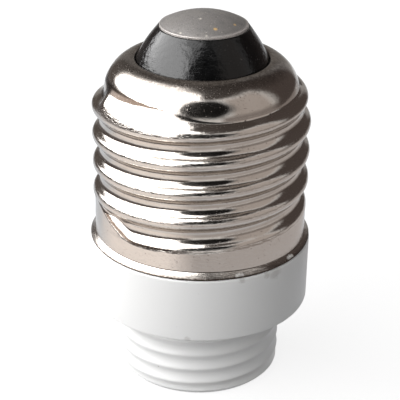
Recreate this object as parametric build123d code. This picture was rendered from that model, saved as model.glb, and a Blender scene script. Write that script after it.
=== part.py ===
from build123d import *
import math
import os

# Lamp socket adapter. Sizes are in millimetres. The part stands on its neck, with its axis on Z,
# the centre contact on top, the front on -Y and the two lamp pins side by side along X.

# Clearances
SLIDE_FIT = 0.05
SEAT_FIT = 0.1
SPIGOT_FIT = 0.15
CLIP_FIT = 0.1

# White body: threaded neck, collar, and the spigot inside the shell
NECK_LENGTH = 9.8
NECK_CORE_DIAMETER = 19.8
NECK_END_STEP = 0.4
NECK_THREAD_HEIGHT = 0.25
NECK_THREAD_WIDTH = 1.7
NECK_THREAD_PITCH = 1.91
NECK_THREAD_START = 0.4
COLLAR_HEIGHT = 8.2
COLLAR_DRAFT = 0.05
COLLAR_EDGE = 0.3
SPIGOT_SEAT_HEIGHT = 2.6
SPIGOT_HEIGHT = 6.0

# Lamp socket in the foot of the body, for two looped pins
PIN_SPACING = 9.0
PIN_SLOT_LENGTH = 4.4
PIN_SLOT_WIDTH = 2.2
PIN_SLOT_CORNER = 1.0
POCKET_END_MARGIN = 0.8
POCKET_SIDE_MARGIN = 2.1
POCKET_DEPTH = 5.0
POCKET_CORNER = 1.6
CHAMBER_FLOOR = 2.0

# Spring clips, bent from bronze strip
CLIP_STRIP = 0.3
CLIP_WIDTH = 4.6
CLIP_SPREAD = 3.1
CLIP_PINCH = 0.9
CLIP_TIP = 0.8
CLIP_PINCH_HEIGHT = 3.4
CLIP_SHOULDER_HEIGHT = 6.2
CLIP_HEIGHT = 9.2
CLIP_BEND = 0.5

# Screw shell: rolled sheet with a round thread of seven turns to the inch
SHEET = 0.3
THREAD_DIAMETER = 26.3
THREAD_PITCH = 25.4 / 7
THREAD_ARC = 1.025
THREAD_FRONT_HEIGHT = 3.39
THREAD_FADE_START = 2.3
THREAD_FADE_LENGTH = 1.6
RUN_OUT_DROP = 5.8
RUN_OUT_ARC = 2.4
ROOT_LAND = 0.05
FLANK_END = 0.0125
SKIRT_STEP = 0.25
SKIRT_HEIGHT = 3.0
SKIRT_TAPER_LENGTH = 2.4
LIP_FLARE = 0.75
LIP_HEIGHT = 0.5
LIP_THROAT = 0.12
LIP_OVERHANG = 0.05
SHELL_HEIGHT = 22.95
SHOULDER_STEP = 1.48
SHOULDER_ARC = 4.35
SHOULDER_WIDTH = 3.77
TOP_RIM_ARC = 0.4
TOP_FLANGE_DEPTH = 0.95

# Black insulator cone and the centre contact
CONE_INSET = 2.4
CONE_HEIGHT = 3.95
CONE_BULGE = 0.17
CONE_EDGE = 0.25
INSULATOR_FLANGE_WIDTH = 1.3
INSULATOR_FLANGE_THICKNESS = 1.3
CONTACT_INSET = 0.25
CONTACT_EDGE = 0.2
CONTACT_CROWN = 1.55
SHANK_DIAMETER = 3.0
SHANK_BORE_DEPTH = 4.5

# Leads and their sleeves
WIRE_DIAMETER = 0.8
SLEEVE_DIAMETER = 1.9
WIRE_BELOW_BRIDGE = 0.8
LEAD_BEND = 2.5
CENTRE_LEAD_RISE = 4.0
CENTRE_LEAD_CROSSING = 4.5
BARE_END = 1.2

# Heights that follow from the sizes above
COLLAR_TOP = NECK_LENGTH + COLLAR_HEIGHT
SPIGOT_TOP = COLLAR_TOP + SPIGOT_HEIGHT
CHAMBER_BASE = POCKET_DEPTH + CHAMBER_FLOOR
BRIDGE_HEIGHT = CHAMBER_BASE + CLIP_HEIGHT
SHELL_TOP = COLLAR_TOP + SHELL_HEIGHT
RUN_OUT_HEIGHT = SHELL_TOP - RUN_OUT_DROP
SHOULDER_HEIGHT = SHELL_TOP - SHOULDER_ARC

# Thread section: crest and root arcs of one radius, tangent to each other half a pitch apart
THREAD_RADIUS = THREAD_DIAMETER / 2
THREAD_DEPTH = 2 * THREAD_ARC - math.sqrt(4 * THREAD_ARC**2 - (THREAD_PITCH / 2) ** 2)
ROOT_RADIUS = THREAD_RADIUS - THREAD_DEPTH
CREST_CENTRE = THREAD_RADIUS - THREAD_ARC
ROOT_CENTRE = ROOT_RADIUS + THREAD_ARC
FLANK_ANGLE = math.degrees(math.atan2(THREAD_PITCH / 2, ROOT_CENTRE - CREST_CENTRE))

# Radii that follow from the thread, so that the shell, the body and the insulator keep together
SKIRT_RADIUS = THREAD_RADIUS - SKIRT_STEP
LIP_RADIUS = SKIRT_RADIUS + LIP_FLARE
COLLAR_RADIUS = LIP_RADIUS - LIP_OVERHANG
SPIGOT_SEAT_RADIUS = SKIRT_RADIUS - SHEET - SEAT_FIT
SPIGOT_RADIUS = ROOT_RADIUS - SHEET - SPIGOT_FIT
SHOULDER_RADIUS = THREAD_RADIUS - SHOULDER_STEP
TOP_HOLE_RADIUS = SHOULDER_RADIUS - SHOULDER_WIDTH
INSULATOR_FLANGE_RADIUS = TOP_HOLE_RADIUS + INSULATOR_FLANGE_WIDTH
CONE_TOP_RADIUS = TOP_HOLE_RADIUS - CONE_INSET
CONTACT_RADIUS = CONE_TOP_RADIUS - CONTACT_INSET

# Top of the shell: the shoulder arc rolls over a small rim into the flanged hole
SHOULDER_CENTRE = SHOULDER_RADIUS - SHOULDER_ARC
RIM_CENTRE = TOP_HOLE_RADIUS + TOP_RIM_ARC
RIM_OFFSET = RIM_CENTRE - SHOULDER_CENTRE
RIM_RISE = math.sqrt((SHOULDER_ARC - TOP_RIM_ARC) ** 2 - RIM_OFFSET**2)
RIM_HEIGHT = SHOULDER_HEIGHT + RIM_RISE
RIM_ANGLE = math.degrees(math.atan2(RIM_RISE, RIM_OFFSET))
FLANGE_BOTTOM = RIM_HEIGHT + TOP_RIM_ARC - TOP_FLANGE_DEPTH
CONE_FOOT = RIM_HEIGHT + TOP_RIM_ARC / 2
CONE_TOP = CONE_FOOT + CONE_HEIGHT
INSULATOR_BASE = FLANGE_BOTTOM - INSULATOR_FLANGE_THICKNESS


def turned(outline):
    """Solid of revolution about Z from a closed outline of radius and height."""
    return revolve(make_face(Plane.XZ * outline), Axis.Z)


def cylinder(radius, bottom, top):
    """Upright cylinder on the axis between two heights."""
    raised = Cylinder(radius, top - bottom, align=(Align.CENTER, Align.CENTER, Align.MIN))
    return Pos(0, 0, bottom) * raised


def coil(section, pitch, radius, bottom, height, angle):
    """Section in the XZ plane swept up a right-hand helix, then turned to start at an angle."""
    path = Helix(pitch, height, radius, center=(0, 0, bottom))
    return Rot(0, 0, angle) * sweep(section, path=path, is_frenet=True)


def arcs_meet(first, first_arc, second, second_arc):
    """Outer point where two arcs cross, from their centres and radii."""
    across = second[0] - first[0]
    up = second[1] - first[1]
    apart = math.hypot(across, up)
    along = (first_arc**2 - second_arc**2 + apart**2) / (2 * apart)
    aside = math.sqrt(first_arc**2 - along**2)
    return (
        first[0] + (across * along + up * aside) / apart,
        first[1] + (up * along - across * aside) / apart,
    )


def direction(centre, point):
    """Angle in degrees from a centre to a point of radius and height."""
    return math.degrees(math.atan2(point[1] - centre[1], point[0] - centre[0]))


def shell_rib(inset, height):
    """Section of the thread: a crest arc between two flank arcs that end just under the core's surface."""
    crest_arc = THREAD_ARC - inset
    root_arc = THREAD_ARC + inset
    dip_angle = math.degrees(math.acos(1 - FLANK_END / root_arc))
    half_pitch = THREAD_PITCH / 2
    crest = CenterArc((CREST_CENTRE, height), crest_arc, -FLANK_ANGLE, 2 * FLANK_ANGLE)
    flank_sweep = FLANK_ANGLE - dip_angle
    upper = CenterArc((ROOT_CENTRE, height + half_pitch), root_arc, 180 + dip_angle, flank_sweep)
    lower = CenterArc((ROOT_CENTRE, height - half_pitch), root_arc, 180 - FLANK_ANGLE, flank_sweep)
    buried = ROOT_RADIUS - inset - SHEET
    top = upper @ 0
    bottom = lower @ 1
    base = Polyline(top, (buried, top.Y), (buried, bottom.Y), bottom)
    return make_face(Plane.XZ * (crest + upper + lower + base))


def shell_envelope(inset):
    """Limits of the thread: a fade above the skirt, a rounded run-out, the shoulder and the top rim."""
    bottom = COLLAR_TOP + LIP_HEIGHT
    fade_start = COLLAR_TOP + THREAD_FADE_START
    fade_radius = SKIRT_RADIUS - SLIDE_FIT - inset
    limit = THREAD_RADIUS + SLIDE_FIT
    run_out_centre = (limit - RUN_OUT_ARC, RUN_OUT_HEIGHT)
    shoulder_centre = (SHOULDER_CENTRE, SHOULDER_HEIGHT)
    run_out_arc = RUN_OUT_ARC - inset
    shoulder_arc = SHOULDER_ARC - inset
    meet = arcs_meet(run_out_centre, run_out_arc, shoulder_centre, shoulder_arc)
    run_out = CenterArc(run_out_centre, run_out_arc, 0, direction(run_out_centre, meet))
    meet_angle = direction(shoulder_centre, meet)
    shoulder = CenterArc(shoulder_centre, shoulder_arc, meet_angle, RIM_ANGLE - meet_angle)
    rim = CenterArc((RIM_CENTRE, RIM_HEIGHT), TOP_RIM_ARC - inset, RIM_ANGLE, 180 - RIM_ANGLE)
    flange_end = FLANGE_BOTTOM - SHEET + inset
    side = Polyline(
        (0, bottom),
        (fade_radius, bottom),
        (fade_radius, fade_start),
        (limit - inset, fade_start + THREAD_FADE_LENGTH),
        run_out @ 0,
    )
    hole = Polyline(rim @ 1, (TOP_HOLE_RADIUS + inset, flange_end), (0, flange_end), (0, bottom))
    return turned(side + run_out + shoulder + rim + hole)


def threaded_form(inset):
    """The shell's threaded and domed form, set in from the outside by an inset."""
    start = COLLAR_TOP + THREAD_FADE_START - SHEET
    front = COLLAR_TOP + THREAD_FRONT_HEIGHT
    start_angle = 270 - 360 * (front - start) / THREAD_PITCH
    rise = RUN_OUT_HEIGHT + RUN_OUT_ARC + THREAD_PITCH / 4 - start
    rib = coil(shell_rib(inset, start), THREAD_PITCH, CREST_CENTRE, start, rise, start_angle)
    core = cylinder(ROOT_RADIUS - inset + ROOT_LAND, COLLAR_TOP, SHELL_TOP)
    return (core + rib) & shell_envelope(inset)


def skirt_outside():
    """Plain skirt below the thread, flared to a round lip that sits on the collar."""
    bead_radius = LIP_HEIGHT / 2
    bead = CenterArc((LIP_RADIUS - bead_radius, COLLAR_TOP + bead_radius), bead_radius, -90, 180)
    throat_height = COLLAR_TOP + LIP_HEIGHT + LIP_THROAT
    throat = CenterArc((SKIRT_RADIUS + LIP_THROAT, throat_height), LIP_THROAT, 180, 90)
    taper_start = COLLAR_TOP + SKIRT_HEIGHT
    taper_end = taper_start + SKIRT_TAPER_LENGTH
    side = Polyline(
        throat @ 0,
        (SKIRT_RADIUS, taper_start),
        (ROOT_RADIUS, taper_end),
        (0, taper_end),
        (0, COLLAR_TOP),
        bead @ 0,
    )
    return turned(bead + Line(bead @ 1, throat @ 1) + throat + side)


def skirt_cavity():
    """Space inside the skirt, opened out under the lip."""
    skirt = SKIRT_RADIUS - SHEET
    taper_start = COLLAR_TOP + SKIRT_HEIGHT
    taper_end = taper_start + SKIRT_TAPER_LENGTH
    mouth = LIP_RADIUS - SHEET - LIP_THROAT
    outline = Polyline(
        (0, COLLAR_TOP - SHEET),
        (mouth, COLLAR_TOP - SHEET),
        (mouth, COLLAR_TOP),
        (skirt, COLLAR_TOP + LIP_HEIGHT),
        (skirt, taper_start),
        (ROOT_RADIUS - SHEET, taper_end),
        (0, taper_end),
        (0, COLLAR_TOP - SHEET),
    )
    return turned(outline)


def screw_shell():
    """One piece of sheet: the threaded form and skirt, hollowed by the same forms set in by the sheet."""
    outside = threaded_form(0) + skirt_outside()
    inside = threaded_form(SHEET) + skirt_cavity()
    return outside - inside


def neck():
    """Neck with its shallow round thread, faded out by a chamfer at the open end.

    The core is turned so that its seam stays clear of the thread's start.
    """
    core_radius = NECK_CORE_DIAMETER / 2
    crest = core_radius + NECK_THREAD_HEIGHT
    buried = core_radius - NECK_THREAD_HEIGHT / 2
    low = NECK_THREAD_START - NECK_THREAD_WIDTH / 2
    high = NECK_THREAD_START + NECK_THREAD_WIDTH / 2
    ridge = ThreePointArc((buried, low), (crest, NECK_THREAD_START), (buried, high))
    section = make_face(Plane.XZ * (ridge + Line((buried, high), (buried, low))))
    rise = NECK_LENGTH + NECK_THREAD_PITCH / 2 - NECK_THREAD_START
    rib = coil(section, NECK_THREAD_PITCH, core_radius, NECK_THREAD_START, rise, 0)
    core = Rot(0, 0, 90) * cylinder(core_radius, 0, NECK_LENGTH + COLLAR_HEIGHT / 2)
    limit = crest + SLIDE_FIT
    end = core_radius - NECK_END_STEP
    top = NECK_LENGTH + NECK_THREAD_PITCH
    outline = Polyline((0, 0), (end, 0), (limit, limit - end), (limit, top), (0, top), (0, 0))
    return (core + rib) & turned(outline)


def collar():
    """Drafted collar with rounded edges, wider towards the shell."""
    outline = Polyline(
        (0, NECK_LENGTH),
        (COLLAR_RADIUS - COLLAR_DRAFT, NECK_LENGTH),
        (COLLAR_RADIUS, COLLAR_TOP),
        (0, COLLAR_TOP),
        (0, NECK_LENGTH),
    )
    section = make_face(outline)
    rounded = fillet(section.vertices().sort_by(Axis.X)[-2:], COLLAR_EDGE)
    return revolve(Plane.XZ * rounded, Axis.Z)


def spigot():
    """Stepped spigot: a seat for the skirt, then a plain boss clear of the rolled thread."""
    base = COLLAR_TOP - COLLAR_EDGE
    seat = cylinder(SPIGOT_SEAT_RADIUS, base, COLLAR_TOP + SPIGOT_SEAT_HEIGHT)
    return seat + cylinder(SPIGOT_RADIUS, base, SPIGOT_TOP)


def socket_cuts():
    """Lamp pocket in the foot, and for each pin a slot and a clip chamber open at the spigot's top."""
    pocket_length = PIN_SPACING + PIN_SLOT_LENGTH + 2 * POCKET_END_MARGIN
    pocket_width = PIN_SLOT_WIDTH + 2 * POCKET_SIDE_MARGIN
    cuts = extrude(RectangleRounded(pocket_length, pocket_width, POCKET_CORNER), POCKET_DEPTH)
    slot = extrude(RectangleRounded(PIN_SLOT_LENGTH, PIN_SLOT_WIDTH, PIN_SLOT_CORNER), CHAMBER_FLOOR)
    chamber_length = CLIP_WIDTH + 2 * CLIP_FIT
    chamber_width = CLIP_SPREAD + CLIP_STRIP + 2 * CLIP_FIT
    chamber = extrude(Rectangle(chamber_length, chamber_width), SPIGOT_TOP - CHAMBER_BASE)
    for side in (-1, 1):
        x = side * PIN_SPACING / 2
        cuts += Pos(x, 0, POCKET_DEPTH) * slot
        cuts += Pos(x, 0, CHAMBER_BASE) * chamber
    return cuts


def socket_body():
    """White moulding: neck, collar and spigot in one, with the lamp socket cut through it."""
    return neck() + collar() + spigot() - socket_cuts()


def contact_clip(side):
    """Bronze strip bent to an arch whose legs pinch a lamp pin, with a hole for the lead in its bridge."""
    spread = CLIP_SPREAD / 2
    pinch = CLIP_PINCH / 2
    left_leg = [
        (-spread, CHAMBER_BASE),
        (-spread, CHAMBER_BASE + CLIP_TIP),
        (-pinch, CHAMBER_BASE + CLIP_PINCH_HEIGHT),
        (-spread, CHAMBER_BASE + CLIP_SHOULDER_HEIGHT),
        (-spread, BRIDGE_HEIGHT),
    ]
    right_leg = [(-across, height) for across, height in reversed(left_leg)]
    path = Plane.YZ * FilletPolyline(*left_leg, *right_leg, radius=CLIP_BEND)
    section = Pos(0, -spread, CHAMBER_BASE) * Rectangle(CLIP_WIDTH, CLIP_STRIP)
    strip = sweep(section, path=path)
    hole_radius = WIRE_DIAMETER / 2 + SLIDE_FIT
    hole = cylinder(hole_radius, BRIDGE_HEIGHT - CLIP_STRIP, BRIDGE_HEIGHT + CLIP_STRIP)
    return Pos(side * PIN_SPACING / 2, 0, 0) * (strip - hole)


def contact_insulator():
    """Black cone with a slight bulge, plugged through the shell's hole and held by a wider flange inside."""
    plug = TOP_HOLE_RADIUS - SLIDE_FIT
    bore = SHANK_DIAMETER / 2 + SLIDE_FIT
    cone = SagittaArc((plug, CONE_FOOT), (CONE_TOP_RADIUS, CONE_TOP), -CONE_BULGE)
    outline = Polyline(
        cone @ 1,
        (bore, CONE_TOP),
        (bore, INSULATOR_BASE),
        (INSULATOR_FLANGE_RADIUS, INSULATOR_BASE),
        (INSULATOR_FLANGE_RADIUS, FLANGE_BOTTOM),
        (plug, FLANGE_BOTTOM),
        cone @ 0,
    )
    section = make_face(cone + outline)
    top_edge = section.vertices().group_by(Axis.Y)[-1].sort_by(Axis.X)[-1]
    return revolve(Plane.XZ * fillet(top_edge, CONE_EDGE), Axis.Z)


def centre_contact():
    """Domed disc on the cone with a hollow shank down through the insulator."""
    shank = SHANK_DIAMETER / 2
    bore = WIRE_DIAMETER / 2 + SLIDE_FIT
    edge = CONE_TOP + CONTACT_EDGE
    apex = edge + CONTACT_CROWN
    dome_radius = (CONTACT_RADIUS**2 + CONTACT_CROWN**2) / (2 * CONTACT_CROWN)
    dome = RadiusArc((CONTACT_RADIUS, edge), (0, apex), -dome_radius)
    bore_top = INSULATOR_BASE + SHANK_BORE_DEPTH
    outline = Polyline(
        (0, apex),
        (0, bore_top),
        (bore, bore_top),
        (bore, INSULATOR_BASE),
        (shank, INSULATOR_BASE),
        (shank, CONE_TOP),
        (CONTACT_RADIUS, CONE_TOP),
        (CONTACT_RADIUS, edge),
    )
    return turned(outline + dome)


def round_wire(route, diameter):
    """Round bar along a route of straight runs joined by bends."""
    path = FilletPolyline(*route, radius=LEAD_BEND)
    section = Plane(origin=path @ 0, z_dir=path % 0) * Circle(diameter / 2)
    return sweep(section, path=path)


def sleeve(route):
    """Tube round a wire along a route."""
    return round_wire(route, SLEEVE_DIAMETER) - round_wire(route, WIRE_DIAMETER + 2 * SLIDE_FIT)


def trimmed(route, start, end):
    """The same route with its first run starting later and its last run ending sooner."""
    first = Vector(*route[1]) - Vector(*route[0])
    last = Vector(*route[-1]) - Vector(*route[-2])
    begin = Vector(*route[0]) + first.normalized() * start
    finish = Vector(*route[-1]) - last.normalized() * end
    return [begin, *route[1:-1], finish]


def centre_route():
    """From under the left clip's bridge up and across to the axis, then into the contact's shank."""
    x = -PIN_SPACING / 2
    bend = SPIGOT_TOP + CENTRE_LEAD_RISE
    return [
        (x, 0, BRIDGE_HEIGHT - CLIP_STRIP / 2 - WIRE_BELOW_BRIDGE),
        (x, 0, bend),
        (0, 0, bend + CENTRE_LEAD_CROSSING),
        (0, 0, INSULATOR_BASE + SHANK_BORE_DEPTH - SLIDE_FIT),
    ]


def shell_route():
    """From under the right clip's bridge up, then out to the inside of a thread root."""
    x = PIN_SPACING / 2
    lowest_root = COLLAR_TOP + THREAD_FRONT_HEIGHT + THREAD_PITCH / 4 - THREAD_PITCH / 2
    turns = math.ceil((SPIGOT_TOP + LEAD_BEND - lowest_root) / THREAD_PITCH)
    height = lowest_root + turns * THREAD_PITCH
    return [
        (x, 0, BRIDGE_HEIGHT - CLIP_STRIP / 2 - WIRE_BELOW_BRIDGE),
        (x, 0, height),
        (ROOT_RADIUS - SHEET - SLIDE_FIT, 0, height),
    ]


def pieces():
    """Every separate piece of the adapter, by name."""
    sleeve_start = WIRE_BELOW_BRIDGE + CLIP_STRIP + BARE_END
    shank_length = SHANK_BORE_DEPTH - SLIDE_FIT
    return {
        "socket_body": socket_body(),
        "screw_shell": screw_shell(),
        "contact_insulator": contact_insulator(),
        "centre_contact": centre_contact(),
        "contact_clip_left": contact_clip(-1),
        "contact_clip_right": contact_clip(1),
        "centre_lead": round_wire(centre_route(), WIRE_DIAMETER),
        "centre_lead_sleeve": sleeve(trimmed(centre_route(), sleeve_start, shank_length + SLIDE_FIT)),
        "shell_lead": round_wire(shell_route(), WIRE_DIAMETER),
        "shell_lead_sleeve": sleeve(trimmed(shell_route(), sleeve_start, BARE_END)),
    }


os.makedirs("parts", exist_ok=True)
for name, piece in pieces().items():
    export_step(piece, f"parts/{name}.step")
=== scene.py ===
import math

import bmesh
import bpy
from mathutils import Matrix, Vector, noise


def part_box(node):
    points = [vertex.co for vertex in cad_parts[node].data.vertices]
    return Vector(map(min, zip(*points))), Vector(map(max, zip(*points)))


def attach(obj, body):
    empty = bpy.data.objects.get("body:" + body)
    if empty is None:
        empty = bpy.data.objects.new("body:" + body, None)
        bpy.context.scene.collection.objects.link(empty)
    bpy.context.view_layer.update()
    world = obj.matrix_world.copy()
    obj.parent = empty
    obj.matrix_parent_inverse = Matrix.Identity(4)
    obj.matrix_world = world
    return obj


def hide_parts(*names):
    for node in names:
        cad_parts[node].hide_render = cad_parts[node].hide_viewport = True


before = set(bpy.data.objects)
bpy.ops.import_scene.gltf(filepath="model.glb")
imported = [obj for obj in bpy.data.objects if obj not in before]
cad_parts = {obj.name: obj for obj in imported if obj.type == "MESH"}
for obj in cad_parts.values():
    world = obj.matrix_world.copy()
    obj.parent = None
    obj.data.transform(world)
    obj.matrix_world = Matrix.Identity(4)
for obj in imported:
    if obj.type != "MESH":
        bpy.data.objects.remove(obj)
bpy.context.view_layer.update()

# Lengths are in millimetres and angles in degrees unless a name says otherwise.
# Meshes are turned into metres as they are made. Angles round the axis start at +X.
MM = 0.001
FRONT = 270


def span(node):
    """Radius, foot and top of a CAD node that stands on the axis."""
    low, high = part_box(node)
    return (high.x - low.x) / 2 / MM, low.z / MM, high.z / MM


LIP_RADIUS, COLLAR_TOP, RIM_TOP = span("screw_shell")
BODY_FOOT, SPIGOT_TOP = span("socket_body")[1:]
FLANGE_RADIUS, INSULATOR_FOOT, CONE_TOP = span("contact_insulator")
CONTACT_RADIUS, SHANK_FOOT, CONTACT_TOP = span("centre_contact")

# Screw shell
SHEET = 0.3
LIP_TUCK = 0.1
LIP_EDGE = 0.13
LIP_THROAT = 0.12
LIP_SLOPE = 46
LIP_FLATTENING = 14
LIP_FLATTEST = 10
LIP_FLAT_SHARES = (0.4, 0.85)
SKIRT_RADIUS = LIP_RADIUS - 0.75
FLARE_EDGE = (LIP_RADIUS - LIP_TUCK - LIP_EDGE, COLLAR_TOP + LIP_EDGE)
THREAD_RADIUS = SKIRT_RADIUS + 0.25
THREAD_PITCH = 25.4 / 7
CREST_ARC = 0.8
ROOT_ARC = 1.25
THREAD_ARCS = CREST_ARC + ROOT_ARC
THREAD_FRONT_HEIGHT = COLLAR_TOP + 3.32
THREAD_DEPTH = THREAD_ARCS - math.sqrt(THREAD_ARCS**2 - (THREAD_PITCH / 2) ** 2)
CREST_CENTRE = THREAD_RADIUS - CREST_ARC
ROOT_CENTRE = THREAD_RADIUS - THREAD_DEPTH + ROOT_ARC
CREST_FADE = (COLLAR_TOP + 3.6, COLLAR_TOP + 5.0)
ROOT_FADE = (COLLAR_TOP + 4.46, COLLAR_TOP + 4.6)
FAINT_ROOT = 0.1
FAINT_ROOT_FADE = (COLLAR_TOP + 3.8, COLLAR_TOP + 4.3)
ROOT_START = COLLAR_TOP + 4.72
FIRST_ROOT_END = THREAD_FRONT_HEIGHT + 0.6 * THREAD_PITCH
ROOT_START_TURN = 0.08
ROOT_START_RISE = 10
ROOT_START_SLOPE = 1.0
ROOT_START_BLEND = 0.25
# Painted shade: width of the dark band painted along the skirt's edge where the first root starts, in place
# of a dark reflection, and the angles over which it ends
ROOT_START_SHADE = 0.4
ROOT_START_SHADE_END = (245, 275)
RUN_OUT_HEIGHT = COLLAR_TOP + 17.14
RUN_OUT_RATE = 0.27
RUN_OUT_POWER = 1.7
SHOULDER_BLEND = 0.1
# Painted shade and dark reflections: widths of the dark bands painted in the crease under the shoulder, in
# the lip's throat and just above the collar, and their reach round the rim
CREASE_SHADE = 0.36
CREASE_SHADE_TIP = 0.02
CREASE_SHADE_END = (205, 256)
THROAT_SHADE = 0.06
LIP_EDGE_SHADE = (0.18, 0.3)
RIM_SHADE = 2.2
RIM_SHADE_SHARE = 0.6
LAST_CREST_HEIGHT = THREAD_FRONT_HEIGHT + 4 * THREAD_PITCH
FILLED_FROM = (188, 206)
FILLED_TO = (240, 290)
SHOULDER_ARC = 4.35
SHOULDER_CENTRE = THREAD_RADIUS - 1.48 - SHOULDER_ARC
SHOULDER_HEIGHT = COLLAR_TOP + 22.95 - SHOULDER_ARC
DOME_START = SHOULDER_HEIGHT + 2.3
RIM_ARC = 0.4
RIM_HEIGHT = RIM_TOP - RIM_ARC
HOLE_RADIUS = THREAD_RADIUS - 5.25
RIM_CENTRE = HOLE_RADIUS + RIM_ARC
RIM_ANGLE = math.degrees(math.atan2(RIM_HEIGHT - SHOULDER_HEIGHT, RIM_CENTRE - SHOULDER_CENTRE))
HOLE_FOOT = RIM_TOP - 0.95

# White body
NECK_LENGTH = 9.8
NECK_RADIUS = 9.9
NECK_END_STEP = 0.4
NECK_RIDGE_HEIGHT = 0.25
NECK_RIDGE_PITCH = 1.91
NECK_RIDGE_FRONT = 0.4 + 0.75 * NECK_RIDGE_PITCH
NECK_CREST_SHARE = 0.22
NECK_END_BLEND = 0.2
COLLAR_RADIUS = LIP_RADIUS - 0.05
COLLAR_DRAFT = 0.05
COLLAR_EDGE = 0.3
SEAT_RADIUS = SKIRT_RADIUS - SHEET - 0.1
SEAT_TOP = COLLAR_TOP + 2.6
SPIGOT_RADIUS = ROOT_CENTRE - ROOT_ARC - SHEET - 0.15
POCKET = (15.0, 6.4, 1.6)
POCKET_DEPTH = 5.0
PIN_SLOT = (4.4, 2.2, 1.0)
PIN_SPACING = 9.0
CHAMBER = (4.8, 3.6, 0.1)
CHAMBER_FOOT = POCKET_DEPTH + 2.0

# Black insulator and centre contact
PLUG_RADIUS = HOLE_RADIUS - 0.05
CONE_FOOT = RIM_TOP - RIM_ARC / 2
CONE_TOP_RADIUS = CONTACT_RADIUS + 0.25
CONE_BULGE = 0.17
CONE_EDGE = 0.25
CONE_LEAN = 0.035
SHANK_RADIUS = 1.5
SHANK_ROOM = 0.05
SHANK_BORE = 0.45
SHANK_BORE_TOP = SHANK_FOOT + 4.5
CONTACT_EDGE = 0.2
CONTACT_ROUNDING = 0.14
CONTACT_ROUNDING_START = 80
CONTACT_WEAR = 0.15

# Single marks: lip nicks painted as bright glints, then marks of use: angle, radius, height and size
LIP_NICK_GLINTS = (
    (289.2, 13.4, 18.3, 0.34),
    (290.6, 13.4, 18.3, 0.38),
    (292.0, 13.4, 18.3, 0.34),
    (323.0, 13.35, 18.3, 0.36),
    (324.6, 13.35, 18.35, 0.42),
    (326.0, 13.35, 18.35, 0.34),
)
BODY_SMUDGES = (
    (311.7, 13.58, 17.4, 1.0),
    (306.0, 13.58, 17.6, 0.6),
    (291.8, 13.58, 17.7, 0.5),
    (264.5, 13.4, 10.1, 0.5),
)
BODY_SPECKS = (
    (272.6, 13.4, 9.95, 0.12),
    (236.7, 10.05, 4.6, 0.14),
    (240.9, 10.05, 3.3, 0.14),
    (226.9, 13.5, 17.9, 0.14),
)
BRASSY_SPOTS = ((291.2, 4.0, 45.4, 0.3), (331.4, 4.15, 45.3, 0.25))
BRIGHT_SPOTS = ((238.2, 4.81, 45.0, 0.2), (275.0, 4.89, 44.9, 0.2), (261.4, 1.9, 46.0, 0.2))

# Unevenness of each surface: length and depth of its slow waves
SHELL_WAVES = (2.2, 0.02)
BODY_WAVES = (9, 0.004)
CONE_WAVES = (1.8, 0.02)
CONTACT_WAVES = (1.5, 0.01)

# Radii at which a finish begins and is full
GROOVE_FILM = (THREAD_RADIUS - 0.5, THREAD_RADIUS - THREAD_DEPTH)
CREST_SCUFFS = (THREAD_RADIUS - 0.7, THREAD_RADIUS - 0.1)
# Painted highlight: a lighter band round the contact's rim, in place of the bright line its rounded edge
# catches
RIM_HIGHLIGHT = (CONTACT_RADIUS - 0.3, CONTACT_RADIUS - 0.1)

# Mesh steps round the axis, rows along the sections and steps along their arcs
SHELL_STEPS = 320
SHELL_THREAD_ROWS = 170
SHELL_INSIDE_ROWS = 30
LIP_EDGE_STEPS = 16
LIP_THROAT_STEPS = 8
DOME_STEPS = 22
DOME_INSIDE_STEPS = 10
RIM_STEPS = 10
RIM_INSIDE_STEPS = 6
BODY_STEPS = 240
NECK_ROWS = 110
COLLAR_EDGE_STEPS = 8
CORNER_STEPS = 8
TURNED_STEPS = 192
CONE_ROWS = 30
CONE_EDGE_STEPS = 6
CONTACT_ROWS = 40
CONTACT_EDGE_STEPS = 5

# Mesh cleaning: gap at which points join, shortest edge that is kept and angle of a sharp corner
JOIN_GAP = 1e-4
SHORTEST_EDGE = 1e-5
SHARP_EDGE = 50

# Camera fitted to the photo: a 36 mm sensor, aimed at a point close to the axis
CAMERA_FIELD = 36
CAMERA_LENS = 123.7
CAMERA_NEAR = 10
CAMERA_DISTANCE = 170.0
CAMERA_TARGET = (-0.04, 0.0, 21.99)
CAMERA_ELEVATION = 25.65
CAMERA_ROLL = 0.82

# Light: levels are relative to white
WINDOW_LEVEL = 4.6
WINDOW_SIZE = (1300, 380)
WINDOW_AZIMUTH = -80
WINDOW_ELEVATION = 36
WINDOW_DISTANCE = 550
FILL_LEVEL = 0.37
FLOOR_SIZE = 6000
FLOOR_COLOUR = (0.22, 0.22, 0.22, 1)
FLOOR_GLOW = 0.83
CARD_DISTANCE = 430
WALL_DISTANCE = 800
CARD_EYE_HEIGHT = 28.0
CARD_FADE = 8
CARD_COLUMNS = 64
CARD_ROWS = 48


def soft_min(first, second, blend):
    """Lower of two values, with a rounded change from one to the other."""
    share = min(max(0.5 + 0.5 * (second - first) / blend, 0), 1)
    return second + (first - second) * share - blend * share * (1 - share)


def soft_max(first, second, blend):
    """Higher of two values, with a rounded change from one to the other."""
    return -soft_min(-first, -second, blend)


def soft_step(start, end, value):
    """Smooth rise from 0 at start to 1 at end."""
    share = min(max((value - start) / (end - start), 0), 1)
    return share * share * (3 - 2 * share)


def arc_points(centre, radius, start, end, steps):
    """Points of radius and height along an arc."""
    points = []
    for step in range(steps + 1):
        angle = math.radians(start + (end - start) * step / steps)
        points.append((centre[0] + radius * math.cos(angle), centre[1] + radius * math.sin(angle)))
    return points


def even_steps(start, end, steps):
    """Evenly spaced values from start to end, both included."""
    return [start + (end - start) * step / steps for step in range(steps + 1)]


def crest_offset(height, angle, front_height, pitch):
    """Height above the nearest crest of a right-hand thread that has a crest at this height in front."""
    turns = (height - front_height) / pitch - (angle - FRONT) / 360
    return (turns - round(turns)) * pitch


def bulge(radius, height):
    """Reach of a round form at a height above or below its middle."""
    return math.sqrt(max(radius**2 - height**2, 0))


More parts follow.
